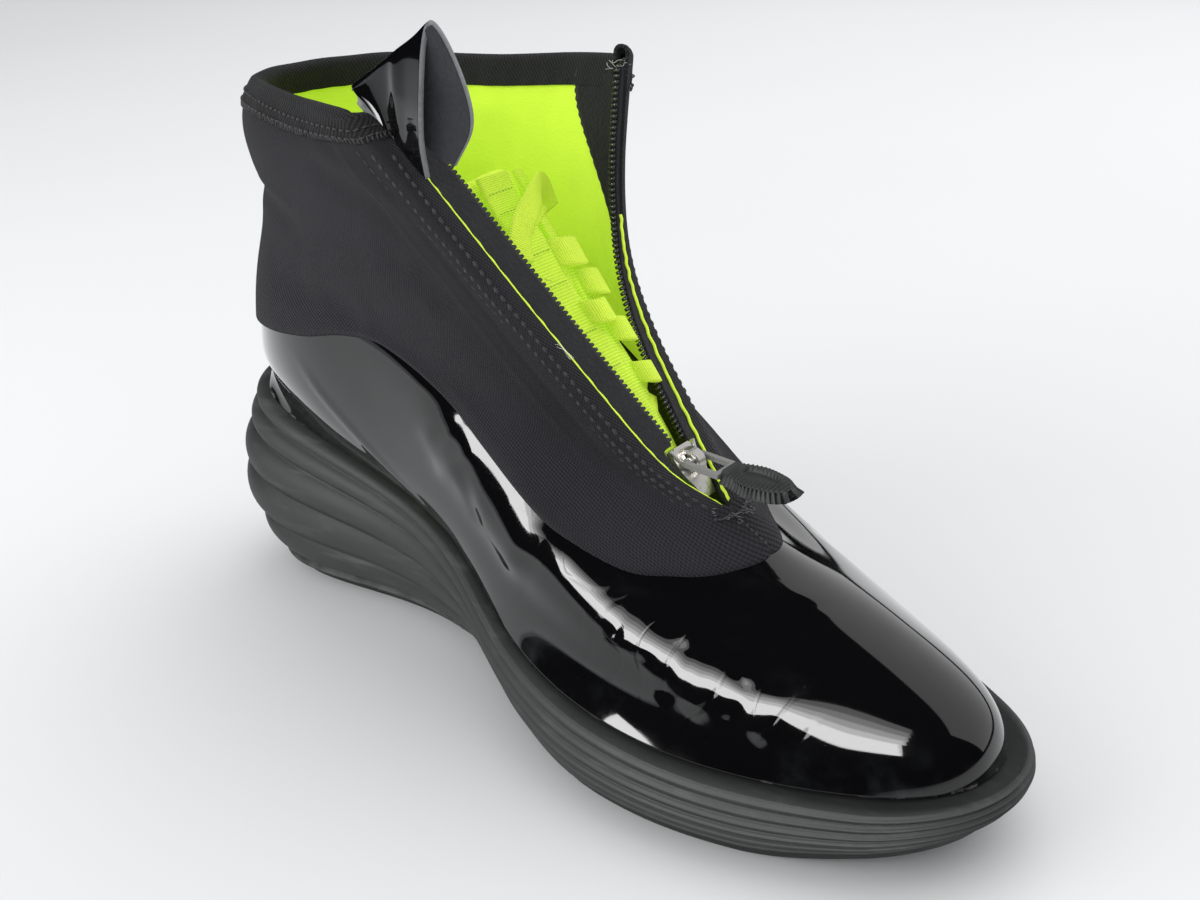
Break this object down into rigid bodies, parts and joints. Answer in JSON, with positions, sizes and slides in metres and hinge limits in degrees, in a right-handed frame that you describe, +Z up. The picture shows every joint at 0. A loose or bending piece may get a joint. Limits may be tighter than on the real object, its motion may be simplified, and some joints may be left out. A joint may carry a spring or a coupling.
{
  "type": "hidden-wedge sneaker boot",
  "caption": "Left hidden-wedge sneaker boot: ribbed rubber wedge sole, hollow glossy shell, stretch shaft, open front zip with pull tab, folded pull loop, tongue and flat laces.",
  "frame": {"origin": "middle of the flat under the heel, on the floor", "axes": "+X forward to the toe, +Y to the outer side of the left foot, +Z up from the floor"},
  "size_m": [0.2699, 0.0985, 0.1778],
  "materials": {
    "tread_rubber": "matt, scuffed",
    "midsole_rubber": "satin, dusty",
    "lining_fabric": "matt knit",
    "patent_shell": "high-gloss coated",
    "stretch_fabric": "matt twill knit",
    "binding_fabric": "matt brushed",
    "zip_tape": "matt woven",
    "zip_teeth": "satin",
    "zip_metal": "polished plating",
    "grip_rubber": "satin moulded",
    "patent_strap": "high-gloss coated",
    "tongue_fabric": "matt knit",
    "lace_fabric": "matt woven"
  },
  "bodies": {
    "boot": {"outsole": "tread_rubber", "midsole": "midsole_rubber", "insole": "lining_fabric", "upper": "patent_shell", "shaft": "stretch_fabric", "collar_binding": "binding_fabric", "zip_tape_medial": "zip_tape", "zip_tape_lateral": "zip_tape", "zip_teeth_medial": "zip_teeth", "zip_teeth_lateral": "zip_teeth", "zip_slider": "zip_metal", "pull_loop": "patent_strap", "tongue": "tongue_fabric", "laces": "lace_fabric", "lace_loops_medial": "lace_fabric", "lace_loops_lateral": "lace_fabric"},
    "pull": {"zip_pull": "zip_metal", "pull_grip": "grip_rubber"}
  },
  "joints": [
    {"name": "pull_swing", "type": "hinge", "parent": "boot", "child": "pull", "pos_m": [0.1073, 0, 0.0743], "axis": [0, -1, 0], "range_deg": [-14, 110]}
  ]
}
